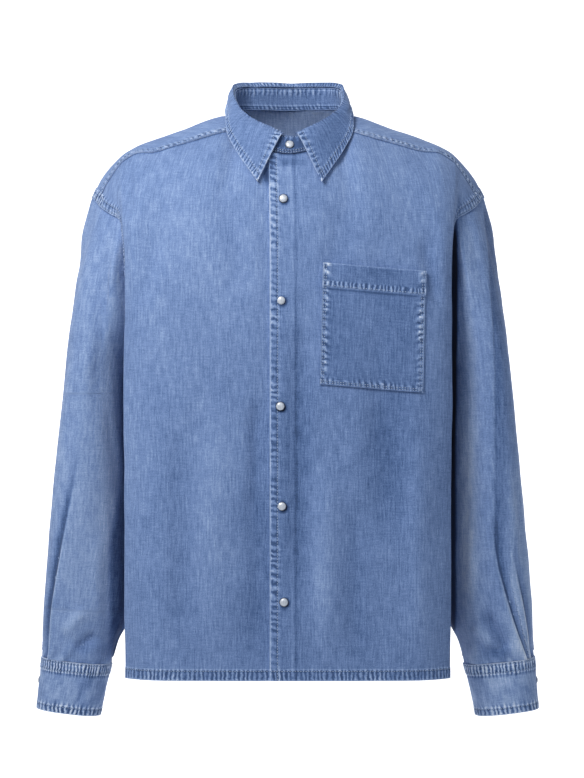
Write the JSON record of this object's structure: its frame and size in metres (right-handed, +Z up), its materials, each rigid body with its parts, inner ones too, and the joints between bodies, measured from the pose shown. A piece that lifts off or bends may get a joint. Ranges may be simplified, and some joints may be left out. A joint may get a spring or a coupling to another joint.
{
  "type": "denim shirt",
  "caption": "Hollow long-sleeved light blue denim shirt, filled out as if worn, with a pointed collar, a yoke, a chest pocket and metal snaps; open at neck, hem and cuffs.",
  "frame": {"origin": "middle of the neck opening at the level of the shoulder line, where a wearer's neck and shoulders carry the shirt", "axes": "+Z up along the worn shirt, -Y the way its front faces, +X to the wearer's left"},
  "size_m": [0.643, 0.238, 0.8155],
  "materials": {
    "denim": "light washed indigo cotton denim, slubby vertical streaks, paler along its stitched edges",
    "snap_metal": "pearly silver domed caps"
  },
  "bodies": {
    "root": {"front_left": "denim", "front_right": "denim", "back": "denim", "yoke": "denim", "sleeve_left": "denim", "sleeve_right": "denim", "cuff_left": "denim", "cuff_right": "denim", "sleeve_placket_left": "denim", "sleeve_placket_right": "denim", "collar_stand": "denim", "collar_leaf": "denim", "chest_pocket": "denim", "snap_collar": "snap_metal", "snap_front_1": "snap_metal", "snap_front_2": "snap_metal", "snap_front_3": "snap_metal", "snap_front_4": "snap_metal", "snap_front_5": "snap_metal", "snap_cuff_left": "snap_metal", "snap_cuff_right": "snap_metal"}
  },
  "joints": []
}
